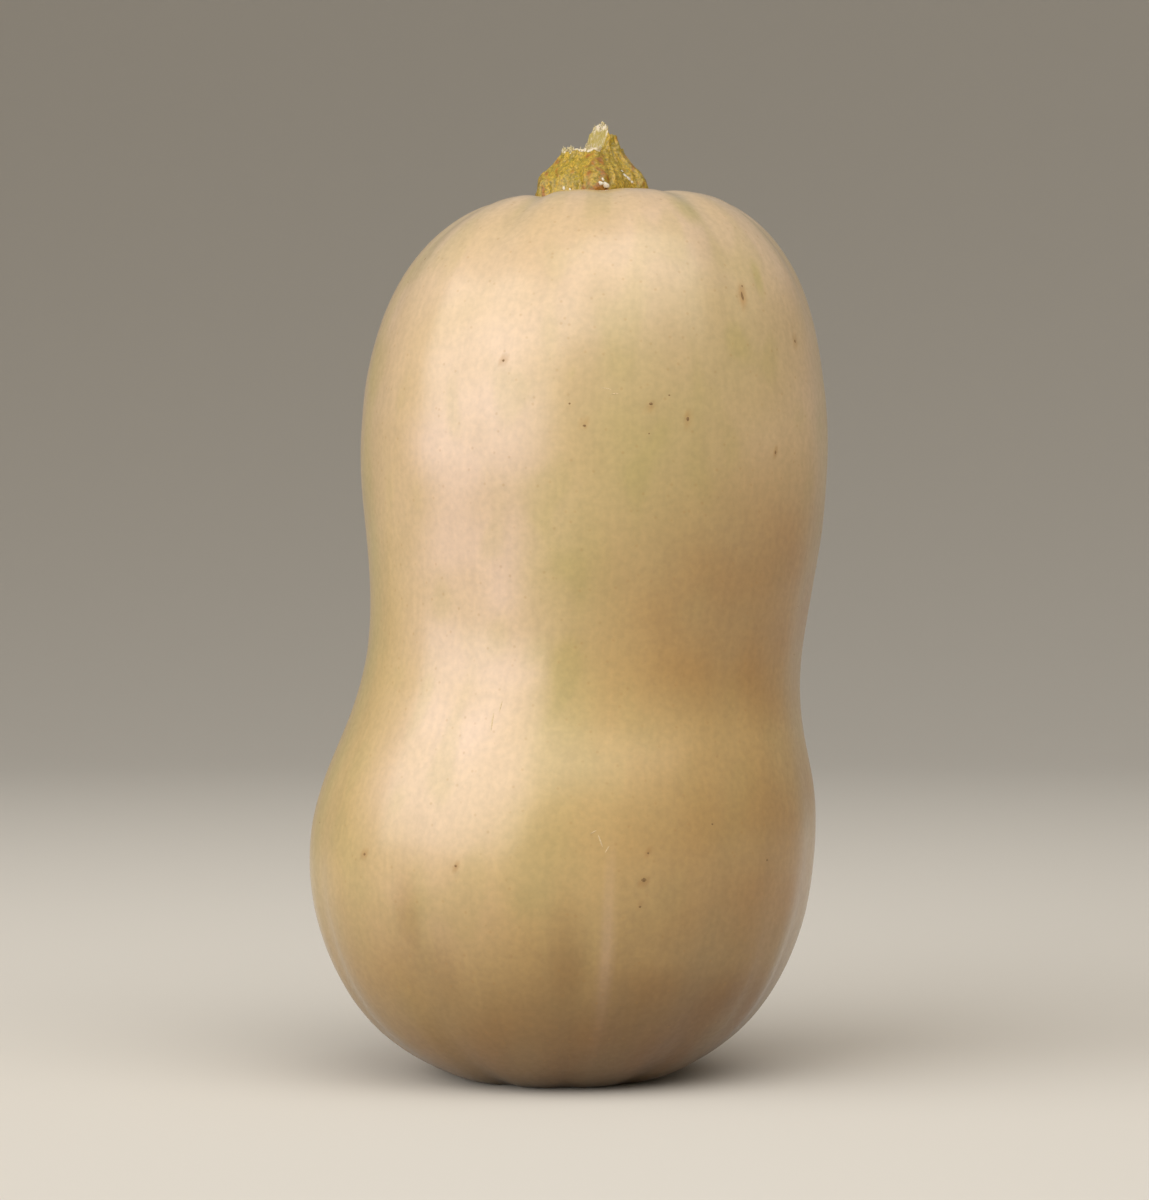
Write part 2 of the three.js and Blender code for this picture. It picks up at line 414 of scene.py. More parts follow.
def fruit_surface(angle, radius, height, normal):
    """Points on the skin, in millimetres from the bulb's axis, for points of the outline."""
    dent = furrow_depth(radius, height) * furrow_at(angle)
    free = rise(radius, SEAT_RADIUS, 30) * rise(height, 0, 8)
    relief = relief_at(around(RELIEF_RADIUS, angle, height), SKIN_RELIEF)
    lift = free * (relief + vein_relief(angle, height)) - dent
    tilt = SHOULDER_TILT * np.sin(angle) * rise(height, 190, SHOULDER_HEIGHT) * rise(radius, 10, 20)
    out = radius + normal[:, 0] * lift
    up = np.maximum(0, height + normal[:, 1] * lift + tilt)
    x = out * np.sin(angle) + middle_at(radius, height)
    return np.stack([x, -out * np.cos(angle) * DEPTH_SHARE, up], axis=1)


def frame_shift():
    """From the bulb's axis to the frame's origin, which lies under the middle of the fruit."""
    low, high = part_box("fruit")
    rows, normals = smooth_outline(FRUIT_OUTLINE, 4)
    sides = []
    for angle in (-math.pi / 2, math.pi / 2):
        turned = np.full(len(rows), angle)
        sides.append(fruit_surface(turned, rows[:, 0], rows[:, 1], normals)[:, 0])
    own_middle = (sides[0].min() + sides[1].max()) / 2
    return np.array([(low.x + high.x) / 2 / MM - own_middle, (low.y + high.y) / 2 / MM, 0])


def revolve(rows, columns):
    """Turns rows about an axis: the angle and the row of each point, with one point at each end."""
    turns = np.arange(columns) * 2 * math.pi / columns
    angle = np.concatenate([[0], np.tile(turns, len(rows) - 2), [0]])
    return angle, np.concatenate([rows[:1], np.repeat(rows[1:-1], columns, axis=0), rows[-1:]])


def revolved_faces(rings, columns):
    """Faces of a closed form of rings of points, with one point at each end of its axis."""
    faces = []
    last = 1 + (rings - 1) * columns
    top = 1 + rings * columns
    for i in range(columns):
        j = (i + 1) % columns
        faces.append((0, 1 + j, 1 + i))
        faces.append((last + i, last + j, top))
        for ring in range(rings - 1):
            low = 1 + ring * columns
            high = low + columns
            faces.append((low + i, low + j, high + j, high + i))
    return faces


def add_mesh(name, points, faces):
    """Adds an object with a smooth mesh."""
    mesh = bpy.data.meshes.new(name)
    mesh.from_pydata(np.asarray(points).tolist(), [], faces)
    mesh.shade_smooth()
    piece = bpy.data.objects.new(name, mesh)
    bpy.context.scene.collection.objects.link(piece)
    return piece


def add_piece(name, points, faces, material, node=None):
    """Adds a piece of points in the frame's millimetres, hangs it on the root body and hides the part
    it stands for, if one is given.
    """
    piece = add_mesh(name, np.asarray(points) * MM, faces)
    piece.data.materials.append(material)
    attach(piece, "root")
    if node:
        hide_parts(node)
    return piece


def add_attribute(piece, name, kind, values):
    """Stores one value or vector for each point of a piece, for its material to read."""
    attribute = piece.data.attributes.new(name, kind, "POINT")
    field = "vector" if kind == "FLOAT_VECTOR" else "value"
    attribute.data.foreach_set(field, np.asarray(values, np.float32).ravel())


def read_floats(items, field, width=1):
    """Reads one field of points or attribute values: a number or a row of numbers for each."""
    values = np.empty(len(items) * width, np.float32)
    items.foreach_get(field, values)
    return values.reshape(-1, width) if width > 1 else values


def cover_of(zones, angle, radius, height):
    """How strongly soft zones cover points of the skin."""
    cover = np.zeros_like(angle)
    for degrees, middle, half_width, half_length, strength in zones:
        off = turn_from(math.radians(degrees), angle)
        away = np.hypot(off * radius / half_width, (height - middle) / half_length)
        cover = np.maximum(cover, strength * (1 - rise(away, 0.2, 1.5)))
    return cover


def skin_zones(angle, radius, height):
    """The share of each colour of the skin at its points, and how light or dark it is there, painted
    sheen and painted shade included.
    """
    grain = around(PATTERN_RADIUS * rise(radius, 0, 8), angle, height)
    cloud = scattered(grain, 13)
    uneven = 0.88 + 0.4 * cloud
    bands = scattered(grain * (1, 1, 0.1), 7)

    # Green shows in faint blotches, and in the furrows of the shoulder and of the bulb.
    blotches = 0.3 * rise(scattered(grain * (1, 1, 0.6), 8), 0.05, 0.5)
    furrow = furrow_at(angle) * rise(radius, 12, 24)
    furrow_green = furrow * (0.2 * rise(height, 176, 204) + 0.15 * (1 - rise(height, 20, 70)))
    green = cover_of(GREEN_AND_SHADE_ZONES, angle, radius, height) * uneven + furrow_green + blotches

    # The neck is painted paler, a painted sheen from the light above, and the bulb is painted browner
    # towards its foot, a painted shade. Each speck has a brown halo.
    halos = [(turn, level, 1.1 * wide, 1.1 * long, 0.7) for turn, level, wide, long in SEEN_SPECKS]
    high = 0.6 * rise(height, 100, 175)
    low = 0.75 * (1 - rise(height, 4, 62))
    pale = cover_of(PALE_AND_SHEEN_ZONES, angle, radius, height)
    brown_and_shade = cover_of(BROWN_AND_SHADE_ZONES, angle, radius, height)
    peach = np.maximum(high, pale) * uneven
    brown = np.maximum(np.maximum(low, brown_and_shade) * uneven, cover_of(halos, angle, radius, height))
    blossom_scar = (1 - rise(height, 2, 4)) * (1 - rise(radius, 3, 8))
    cork = blossom_scar * (1.2 + 0.6 * scattered(grain, 2))

    # Painted shade: the tone darkens towards the bottom of the bulb and in the brown zones. Painted
    # sheen lightens it in the pale zones.
    shade = 0.27 * (1 - rise(height, 6, 58)) + 0.2 * brown_and_shade - 0.08 * pale + 0.08 * furrow_green
    drift = 0.02 * bands + 0.045 * cloud + 0.03 * scattered(grain, 4)
    zones = {"peach": peach, "green": green, "brown": brown, "cork": cork}
    return {name: np.clip(share, 0, 1) for name, share in zones.items()} | {"tone": 1 + drift - shade}


def add_node(tree, kind, inputs=(), **properties):
    """Adds a node with its properties, and links or sets each of the inputs given."""
    node = tree.nodes.new(kind)
    for name, value in properties.items():
        setattr(node, name, value)
    for name, value in dict(inputs).items():
        if isinstance(value, bpy.types.NodeSocket):
            tree.links.new(value, node.inputs[name])
        else:
            node.inputs[name].default_value = value
    return node


def new_material(name):
    """An empty material and its node tree."""
    material = bpy.data.materials.new(name)
    material.use_nodes = True
    material.node_tree.nodes.clear()
    return material, material.node_tree


def blend(tree, edge, low, high, first, second):
    """Goes from one colour to another where a value rises from low to high."""
    inputs = {"Value": edge, "From Min": low, "From Max": high}
    share = add_node(tree, "ShaderNodeMapRange", inputs).outputs[0]
    inputs = {0: share, 6: first, 7: second}
    return add_node(tree, "ShaderNodeMix", inputs, data_type="RGBA").outputs[2]


def shaded(tree, colour, pattern, low, high, top=0.7):
    """Multiplies a colour by a factor that goes from low to high with a pattern."""
    inputs = {"Value": pattern, "From Min": 0.3, "From Max": top, "To Min": low, "To Max": high}
    factor = add_node(tree, "ShaderNodeMapRange", inputs).outputs[0]
    inputs = {0: 1.0, 6: colour, 7: factor}
    return add_node(
        tree, "ShaderNodeMix", inputs, data_type="RGBA", blend_type="MULTIPLY"
    ).outputs[2]


def waxy_rind(settings):
    """Waxy rind: a hard cuticle over pale tan flesh. It gives a broad milky sheen, a faint leathery
    mottle, fine lengthwise streaks, and green where little sun came. Its colours also carry a
    painted sheen and painted shade."""
    material, tree = new_material("waxy_rind")
    place = add_node(tree, "ShaderNodeTexCoord").outputs["Object"]
    grain = add_node(tree, "ShaderNodeAttribute", attribute_name="grain").outputs["Vector"]
    tone = add_node(tree, "ShaderNodeAttribute", attribute_name="tone").outputs["Fac"]

    # Zones, each with its own colour. The paler zone holds painted sheen and the brown zone painted
    # shade, beside the skin's own patches.
    colour = settings.tan
    for zone in ("peach", "green", "brown", "cork"):
        share = add_node(tree, "ShaderNodeAttribute", attribute_name=zone).outputs["Fac"]
        inputs = {0: share, 6: colour, 7: getattr(settings, zone)}
        colour = add_node(tree, "ShaderNodeMix", inputs, data_type="RGBA").outputs[2]

    # Streaks 1.6 mm wide and 25 mm long, and a mottle with lumps of 1.5 mm.
    lengthwise = add_node(
        tree, "ShaderNodeVectorMath", {0: grain, 1: (1, 1, 0.065)}, operation="MULTIPLY"
    ).outputs[0]
    inputs = {"Vector": lengthwise, "Scale": 1 / (1.6 * MM), "Detail": 1.0}
    streak = add_node(tree, "ShaderNodeTexNoise", inputs).outputs["Fac"]
    inputs = {"Vector": place, "Scale": 1 / (1.5 * MM), "Detail": 2.0}
    mottle = add_node(tree, "ShaderNodeTexNoise", inputs).outputs["Fac"]
    colour = shaded(tree, colour, streak, 0.98, 1.02)
    colour = shaded(tree, colour, mottle, 0.94, 1.05)
    # The tone adds painted shade towards the bottom and on the right, and painted sheen in the pale
    # zones.
    toned = add_node(
        tree, "ShaderNodeMix", {0: 1.0, 6: colour, 7: tone}, data_type="RGBA", blend_type="MULTIPLY"
    ).outputs[2]

    # Pores: faint dots 0.6 mm across and about 3 mm apart.
    inputs = {"Vector": place, "Scale": 1 / (3 * MM), "Randomness": 1.0}
    pores = add_node(tree, "ShaderNodeTexVoronoi", inputs).outputs["Distance"]
    inputs = {"Value": pores, "From Min": 0.05, "From Max": 0.16, "To Min": 0.28, "To Max": 0.0}
    pore_share = add_node(tree, "ShaderNodeMapRange", inputs).outputs[0]
    inputs = {0: pore_share, 6: toned, 7: settings.brown}
    dotted = add_node(tree, "ShaderNodeMix", inputs, data_type="RGBA").outputs[2]

    # The wax is a little shinier where the mottle is light.
    inputs = {"Value": mottle, "From Min": 0.3, "From Max": 0.7, "To Min": 0.48, "To Max": 0.42}
    roughness = add_node(tree, "ShaderNodeMapRange", inputs).outputs[0]
    inputs = {"Height": mottle, "Strength": 0.4, "Distance": 0.05 * MM}
    pitted = add_node(tree, "ShaderNodeBump", inputs).outputs[0]
    inputs = {
        "Base Color": dotted,
        "Roughness": roughness,
        "IOR": 1.5,
        "Normal": pitted,
        "Coat Weight": 1.0,
        "Coat Roughness": 0.23,
        "Coat IOR": 1.5,
    }
    skin = add_node(tree, "ShaderNodeBsdfPrincipled", inputs).outputs[0]
    add_node(tree, "ShaderNodeOutputMaterial", {"Surface": skin})
    return material


def corky_scab(name, colour):
    """Dry cork: what the skin heals a prick or a scratch with. It is dull, with a fine crumb."""
    material, tree = new_material(name)
    place = add_node(tree, "ShaderNodeTexCoord").outputs["Object"]
    inputs = {"Vector": place, "Scale": 1 / (0.3 * MM), "Detail": 2.0}
    crumb = add_node(tree, "ShaderNodeTexNoise", inputs).outputs["Fac"]
    inputs = {"Height": crumb, "Strength": 0.5, "Distance": 0.05 * MM}
    bump = add_node(tree, "ShaderNodeBump", inputs).outputs[0]
    crumbled = shaded(tree, colour, crumb, 0.75, 1.2)
    inputs = {"Base Color": crumbled, "Roughness": 0.7, "Normal": bump}
    cork = add_node(tree, "ShaderNodeBsdfPrincipled", inputs).outputs[0]
    add_node(tree, "ShaderNodeOutputMaterial", {"Surface": cork})
    return material


def corky_bark(settings):
    """Corky bark of the stalk: olive-yellow and knobbly, amber where it dried on its toes and ridges,
    with split wood where it was torn and bleached fibres along the tear."""
    material, tree = new_material("corky_bark")
    place = add_node(tree, "ShaderNodeTexCoord").outputs["Object"]
    torn, frayed, dried = [
        add_node(tree, "ShaderNodeAttribute", attribute_name=name).outputs["Fac"]
        for name in ("torn", "frayed", "dried")
    ]

    # Blotches 1.1 mm wide and 4 mm long, a crumb of 0.5 mm, and fibres 0.4 mm wide and 4 mm long.
    patterns = []
    for width, squeeze in ((1.1, 0.28), (0.5, 1), (0.4, 0.1)):
        squeezed = add_node(
            tree, "ShaderNodeVectorMath", {0: place, 1: (1, 1, squeeze)}, operation="MULTIPLY"
        ).outputs[0]
        inputs = {"Vector": squeezed, "Scale": 1 / (width * MM), "Detail": 2.0}
        patterns.append(add_node(tree, "ShaderNodeTexNoise", inputs).outputs["Fac"])
    blotch, crumb, fibre = patterns

    # The patterns make the edges of the dried bark, of the frayed wood and of the tear ragged.
    dry_edge, split_edge, torn_edge = [
        add_node(tree, "ShaderNodeMath", {0: mask, 1: pattern}, operation="ADD").outputs[0]
        for mask, pattern in ((dried, crumb), (frayed, fibre), (torn, fibre))
    ]
    olive = blend(tree, blotch, 0.38, 0.62, settings.olive, settings.yellow)
    bark = blend(tree, dry_edge, 1.0, 1.4, olive, settings.amber)
    rough_bark = shaded(tree, bark, crumb, 0.56, 1.4, top=0.72)
    wood = blend(tree, split_edge, 0.5, 0.95, settings.pith, settings.fibre)
    colour = blend(tree, torn_edge, 0.85, 1.1, rough_bark, wood)

    inputs = {"Height": crumb, "Strength": 0.6, "Distance": 0.12 * MM}
    bump = add_node(tree, "ShaderNodeBump", inputs).outputs[0]
    inputs = {"Height": fibre, "Strength": 0.6, "Distance": 0.08 * MM, "Normal": bump}
    grooved = add_node(tree, "ShaderNodeBump", inputs).outputs[0]
    inputs = {
        "Base Color": colour,
        "Roughness": 0.33,
        "Normal": grooved,
        "Subsurface Weight": 0.1,
        "Subsurface Radius": (1.0, 0.7, 0.2),
        "Subsurface Scale": 1 * MM,
    }
    surface = add_node(tree, "ShaderNodeBsdfPrincipled", inputs).outputs[0]
    add_node(tree, "ShaderNodeOutputMaterial", {"Surface": surface})
    return material


def two_toned(name, colours, lump, detail, finish):
    """A material with soft patches of two colours, as wide as a lump in millimetres."""
    material, tree = new_material(name)
    place = add_node(tree, "ShaderNodeTexCoord").outputs["Object"]
    inputs = {"Vector": place, "Scale": 1 / (lump * MM), "Detail": detail}
    patch = add_node(tree, "ShaderNodeTexNoise", inputs).outputs["Fac"]
    inputs = {0: patch, 6: colours[0], 7: colours[1]}
    colour = add_node(tree, "ShaderNodeMix", inputs, data_type="RGBA").outputs[2]
    surface = add_node(tree, "ShaderNodeBsdfPrincipled", {"Base Color": colour, **finish}).outputs[0]
    add_node(tree, "ShaderNodeOutputMaterial", {"Surface": surface})
    return material


def dry_fibre(settings):
    """Dry split fibre: bleached, and thin enough for light to come through."""
    finish = {
        "Roughness": 0.6,
        "Subsurface Weight": 0.3,
        "Subsurface Radius": (1.0, 0.8, 0.5),
        "Subsurface Scale": 0.5 * MM,
    }
    return two_toned("dry_fibre", (settings.fibre, settings.pith), 1.5, 1.0, finish)


def dried_sap(settings):
    """Dried sap: a milky drop with a glassy skin, which catches a small bright highlight."""
    finish = {
        "Roughness": 0.12,
        "IOR": 1.5,
        "Subsurface Weight": 0.4,
        "Subsurface Radius": (1.0, 0.9, 0.7),
        "Subsurface Scale": 0.6 * MM,
    }
    return two_toned("dried_sap", (settings.sap, settings.fibre), 0.6, 2.0, finish)


def matt_plaster(colour):
    """Painted plaster: even and quite matt, so that nothing of it shows but soft shadows."""
    material, tree = new_material("matt_plaster")
    surface = add_node(tree, "ShaderNodeBsdfDiffuse", {"Color": colour, "Roughness": 0.8}).outputs[0]
    add_node(tree, "ShaderNodeOutputMaterial", {"Surface": surface})
    return material


# What all colour settings have in common
COLOUR = {"subtype": "COLOR", "size": 4, "min": 0, "max": 1}


class SquashSkinSettings(bpy.types.PropertyGroup):
    """How fine the fruit is, and what its skin looks like"""

    columns: bpy.props.IntProperty(
        name="Columns", description="Points round the fruit", default=330, min=60
    )
    steps: bpy.props.IntProperty(
        name="Steps", description="Rings of points in each span of the outline", default=9, min=2
    )
    stray_specks: bpy.props.IntProperty(
        name="Stray specks", description="Small dark specks on the sides and the back",
        default=26, min=0,
    )
    tan: bpy.props.FloatVectorProperty(
        name="Tan", description="Ground colour of the skin", default=linear("D7B87D"), **COLOUR,
    )
    # Painted sheen as well as the skin's own paler places.
    peach: bpy.props.FloatVectorProperty(
        name="Peach", description="Paler and pinker places", default=linear("E0C2A5"), **COLOUR,
    )
    # Also a band of painted shade at the left edge.
    green: bpy.props.FloatVectorProperty(
        name="Green", description="Places and furrows where green shows through",
        default=linear("C7B277"), **COLOUR,
    )
    # Browner places and pores, and painted shade low on the bulb and on its right.
    brown: bpy.props.FloatVectorProperty(
        name="Brown", description="Browner places and pores", default=linear("B98747"), **COLOUR,
    )
    cork: bpy.props.FloatVectorProperty(
        name="Cork", description="Blossom scar", default=linear("9A7448"), **COLOUR,
    )
    speck: bpy.props.FloatVectorProperty(
        name="Speck", description="Small dark scabs", default=linear("94754A"), **COLOUR,
    )
    scar: bpy.props.FloatVectorProperty(
        name="Scar", description="Healed scratches", default=linear("DEC69A"), **COLOUR,
    )


class SquashStemSettings(bpy.types.PropertyGroup):
    """How fine the stem is, and what its bark and its torn wood look like"""

    cell: bpy.props.FloatProperty(
        name="Cell", description="Size of the faces of the stem",
        unit="LENGTH", default=0.22 * MM, min=0.1 * MM, precision=5,
    )
    fibres: bpy.props.IntProperty(
        name="Fibres", description="Split fibres that stand out of the break", default=170, min=0
    )
    olive: bpy.props.FloatVectorProperty(
        name="Olive", description="Bark", default=linear("A08B2C"), **COLOUR,
    )
    yellow: bpy.props.FloatVectorProperty(
        name="Yellow", description="Yellower bark", default=linear("C4A23A"), **COLOUR,
    )
    amber: bpy.props.FloatVectorProperty(
        name="Amber", description="Bark that dried orange-brown", default=linear("A06A22"), **COLOUR,
    )
    fibre: bpy.props.FloatVectorProperty(
        name="Fibre", description="Bleached fibres", default=linear("E8D9BC"), **COLOUR,
    )
    pith: bpy.props.FloatVectorProperty(
        name="Pith", description="Wood between the fibres", default=linear("B3A055"), **COLOUR,
    )
    sap: bpy.props.FloatVectorProperty(
        name="Sap", description="Dried drops of sap", default=linear("ECE6D6"), **COLOUR,
    )


class SquashStageSettings(bpy.types.PropertyGroup):
    """What the squash stands on, how strong the lights are, and where the camera stands"""

    backdrop: bpy.props.FloatVectorProperty(
        name="Backdrop", description="Floor and wall", default=linear("D6D1C8"), **COLOUR,
    )
    distance: bpy.props.FloatProperty(
        name="Distance", description="From the camera to the middle of the fruit",
        unit="LENGTH", default=0.8, min=0.3,
    )
    eye_height: bpy.props.FloatProperty(
        name="Eye height", description="Height of the camera", unit="LENGTH", default=0.114, min=0,
    )
    eye_side: bpy.props.FloatProperty(
        name="Eye side", description="How far right of the middle the camera stands",
        unit="LENGTH", default=0.00136,
    )
    lens: bpy.props.FloatProperty(
        name="Lens", description="Focal length", unit="CAMERA", default=100, min=20
    )
    key_power: bpy.props.FloatProperty(
        name="Key light", description="Power of the soft light at the left",
        unit="POWER", default=5.5, min=0,
    )
    top_power: bpy.props.FloatProperty(
        name="Top light", description="Power of the soft light overhead",
        unit="POWER", default=6.8, min=0,
    )
    surroundings: bpy.props.FloatProperty(
        name="Surroundings", description="Strength of the light from all sides", default=0.37, min=0
    )


def skin_point(angle, height, shift):
    """A point on the fruit's side at an angle and a height, with its normal, right and up."""
    rows, normals = smooth_outline(FRUIT_OUTLINE, 12)
    side = slice(np.argmax(rows[:, 0] > FOOT_RADIUS), np.argmax(rows[:, 1]))
    rows, normals = rows[side], normals[side]

    def at(turn, level):
        radius = np.interp(level, rows[:, 1], rows[:, 0])
        normal = [np.interp(level, rows[:, 1], normals[:, i]) for i in (0, 1)]
        single = [np.array([value]) for value in (turn, radius, level, normal)]
        return Vector(fruit_surface(*single)[0] + shift)

    middle = at(angle, height)
    right = (at(angle + 0.01, height) - middle).normalized()
    up = (at(angle, height + 0.5) - middle).normalized()
    return middle, right.cross(up).normalized(), right, up


def scab_points(place, width, length, slope, draw):
    """A low irregular disc, whose rim is sunk in the skin: its points and faces."""
    middle, out, right, up = place
    lean = math.radians(slope)
    across = right * math.cos(lean) + up * math.sin(lean)
    along = up * math.cos(lean) - right * math.sin(lean)
    count = 14
    points = [middle + out * 0.06]
    for ring, sunk in ((0.6, 0.045), (1, -0.05)):
        for i in range(count):
            turn = 2 * math.pi * i / count
            ragged = ring * draw.uniform(0.75, 1.1)
            offset = across * (width / 2 * ragged * math.cos(turn))
            offset += along * (length / 2 * ragged * math.sin(turn))
            points.append(middle + offset + out * sunk)
    faces = []
    for i in range(count):
        j = (i + 1) % count
        faces.append((0, 1 + i, 1 + j))
        faces.append((1 + i, 1 + count + i, 1 + count + j, 1 + j))
    return points, faces


def joined(shapes):
    """Puts the points and faces of several shapes in one list each."""
    points, faces = [], []
    for own_points, own_faces in shapes:
        start = len(points)
        points.extend(tuple(p) for p in own_points)
        faces.extend(tuple(start + i for i in face) for face in own_faces)
    return points, faces


class SQUASH_OT_fruit(bpy.types.Operator):
    """Grow the fruit: bulb, neck, ribs and furrows, with the skin on it"""

    bl_idname = "squash.fruit"
    bl_label = "Grow fruit"

    def execute(self, context):
        settings = context.scene.squash_skin
        rows, normals = smooth_outline(FRUIT_OUTLINE, settings.steps)
        strides = np.hypot(*np.diff(rows, axis=0).T)
        along = np.concatenate([[0], np.cumsum(strides)])
        angle, turned = revolve(np.column_stack([rows, normals, along]), settings.columns)
        radius, height, out, up, along = turned.T
        points = fruit_surface(angle, radius, height, np.stack([out, up], axis=1)) + frame_shift()
        faces = revolved_faces(len(rows) - 2, settings.columns)
        fruit = add_piece("squash_fruit", points, faces, waxy_rind(settings), "fruit")

        grain = around(PATTERN_RADIUS * rise(radius, 0, 8), angle, along) * MM
        add_attribute(fruit, "grain", "FLOAT_VECTOR", grain)
        for zone, shares in skin_zones(angle, radius, height).items():
            add_attribute(fruit, zone, "FLOAT", shares)
        return {"FINISHED"}


class SQUASH_OT_marks(bpy.types.Operator):
    """Put the small dark specks and the healed scratches on the skin"""

    bl_idname = "squash.marks"
    bl_label = "Add marks"

    def execute(self, context):
        settings = context.scene.squash_skin
        draw = random.Random(11)
        shift = frame_shift()
        specks = [(*speck, 0) for speck in SEEN_SPECKS]
        for _ in range(settings.stray_specks):
            size = draw.uniform(0.4, 1.1)
            where = (draw.uniform(65, 295), draw.uniform(20, 195))
            specks.append((*where, size, size * draw.uniform(0.6, 1.6), draw.uniform(-40, 40)))
        groups = [
            ("skin_specks", specks, settings.speck, "dark_cork"),
            ("skin_scars", SEEN_SCARS, settings.scar, "pale_cork"),
        ]
        for name, marks, colour, finish in groups:
            shapes = []
            for degrees, height, width, length, slope in marks:
                place = skin_point(math.radians(degrees), height, shift)
                shapes.append(scab_points(place, width, length, slope, draw))
            points, faces = joined(shapes)
            add_piece(name, points, faces, corky_scab(finish, colour))
        return {"FINISHED"}


def stalk_swell(angle):
    """Share by which the stalk's ridges widen or narrow it in a direction."""
    turn = angle - FIRST_RIDGE
    strong = STRONG_RIDGE * np.cos(STEM_RIDGES * turn)
    small = SMALL_RIDGE * np.cos(2 * STEM_RIDGES * turn + 1.2)
    return 1 + strong + small + UNEVEN_RIDGE * np.cos(3 * turn + 0.6)


def stalk_radius(angle, height):
    """Radius of the unbroken stalk in a direction and at a height."""
    rows, _ = smooth_outline(STALK_OUTLINE, 8)
    wall = rows[rows[:, 0] > 4]
    return np.interp(height, wall[:, 1], wall[:, 0]) * stalk_swell(angle)


def break_height(x, y):
    """Height of the torn ledge: rough, a little higher at the back, and hollow at the pith."""
    pith = PITH_DEPTH * np.exp(-((x + 1) ** 2 + (y - 0.5) ** 2) / 9)
    rough = 0.35 * np.sin(2.1 * x + 0.7) * np.cos(1.7 * y)
    flat = np.stack([x, y, 0 * x], axis=1)
    return LEDGE_HEIGHT - pith + rough + 0.05 * y + relief_at(flat, LEDGE_SPLITS)


def splinter_height(x, y):
    """Height of the standing splinter's upper edge, and far below the ledge outside it."""
    flat = np.stack([x, y, 0 * x + 7], axis=1)
    ragged = 0.22 * scattered(flat, 0.7)
    across = x + ragged
    deep = x * math.sin(SPLINTER_TURN) + y * math.cos(SPLINTER_TURN) + ragged
    front = np.interp(across, *np.array(SPLINTER_FRONT).T, left=0, right=0)
    side = np.interp(deep, *np.array(SPLINTER_SIDE).T, left=0, right=0)
    return np.minimum(front, side) + 0.5 * scattered(flat, 0.5) * (front > LEDGE_HEIGHT + 1.2)


def stalk_object():
    """The whole stalk, before the break, in millimetres from its own axis."""
    columns = 200
    rows, _ = smooth_outline(STALK_OUTLINE, 6)
    angle, turned = revolve(rows, columns)
    points = around(turned[:, 0] * stalk_swell(angle), angle, turned[:, 1])
    return add_mesh("stalk", points, revolved_faces(len(rows) - 2, columns))


def kept_block():
    """A block that takes in all of the stalk that is left under the break."""
    half, cells = 17, 136
    floor = SEAT_HEIGHT - 0.3
    line = np.linspace(-half, half, cells + 1)
    x, y = (grid.ravel() for grid in np.meshgrid(line, line))
    top = np.maximum(break_height(x, y), splinter_height(x, y))
    points = np.concatenate([np.stack([x, y, z], axis=1) for z in (top, 0 * x + floor)])
    side = cells + 1
    under = side * side
    faces = []
    for row in range(cells):
        for column in range(cells):
            a = row * side + column
            b, c, d = a + 1, a + side + 1, a + side
            faces.append((a, b, c, d))
            faces.append((under + d, under + c, under + b, under + a))
    front, right = range(cells), range(cells, under - 1, side)
    back, left = range(under - 1, under - side, -1), range(under - side, 0, -side)
    rim = [*front, *right, *back, *left]
    for a, b in zip(rim, rim[1:] + rim[:1]):
        faces.append((a, under + a, under + b, b))
    return add_mesh("kept", points, faces)


def broken_stalk(cell):
    """Points and faces of the stalk cut off at the break, in even faces, in millimetres."""
    stalk, kept = stalk_object(), kept_block()
    cut = stalk.modifiers.new("cut", "BOOLEAN")
    cut.operation = "INTERSECT"
    cut.solver = "MANIFOLD"
    cut.object = kept
    even = stalk.modifiers.new("even", "REMESH")
    even.mode = "VOXEL"
    even.voxel_size = cell
    soften = stalk.modifiers.new("soften", "SMOOTH")
    soften.factor = 0.5
    soften.iterations = 1
    bpy.context.view_layer.update()
    shaped = stalk.evaluated_get(bpy.context.evaluated_depsgraph_get())
    mesh = bpy.data.meshes.new_from_object(shaped)
    for part in (stalk, kept):
        bpy.data.objects.remove(part)
    if not mesh.polygons:
        raise RuntimeError("the stalk and the block below its break don't meet")
    points = read_floats(mesh.vertices, "co", 3)
    normals = read_floats(mesh.vertex_normals, "vector", 3)
    faces = [tuple(p.vertices) for p in mesh.polygons]
    bpy.data.meshes.remove(mesh)
    return points, normals, faces


def tear_of(points, angle):
    """Where the stem's points are torn wood, not bark, and where that wood is frayed."""
    x, y, height = points.T
    inside = stalk_radius(angle, height) - np.hypot(x, y)
    sunk = np.maximum(break_height(x, y), splinter_height(x, y)) - height
    lip = 0.75 * (1 - rise(sunk, 0.3, 1.1))
    torn = np.maximum(rise(inside, 0.15, 0.6), lip)
    torn *= rise(height, LEDGE_HEIGHT - 5.8, LEDGE_HEIGHT - 3.8)
    bark_edge = 2.2 + 0.35 * (height - LEDGE_HEIGHT)
    torn *= 1 - 0.85 * rise(x - bark_edge, -0.3, 0.5)
    tip = rise(height, TIP_HEIGHT - 2.2, TIP_HEIGHT - 1)
    return torn, 0.5 * np.maximum(1 - rise(inside, 0.5, 1.5), tip)


def dried_share(points, angle):
    """Where the bark dried to amber: on its toes, along its ridges and in patches."""
    toes = 1 - rise(points[:, 2], SEAT_HEIGHT + 1.7, SEAT_HEIGHT + 5.2)
    ridge = rise(stalk_swell(angle), 0.97, 1.06)
    patches = scattered(points * (1, 1, 0.5), 1.3)
    return np.clip(0.15 + 0.3 * toes + 0.35 * ridge + 0.8 * patches, 0, 1)


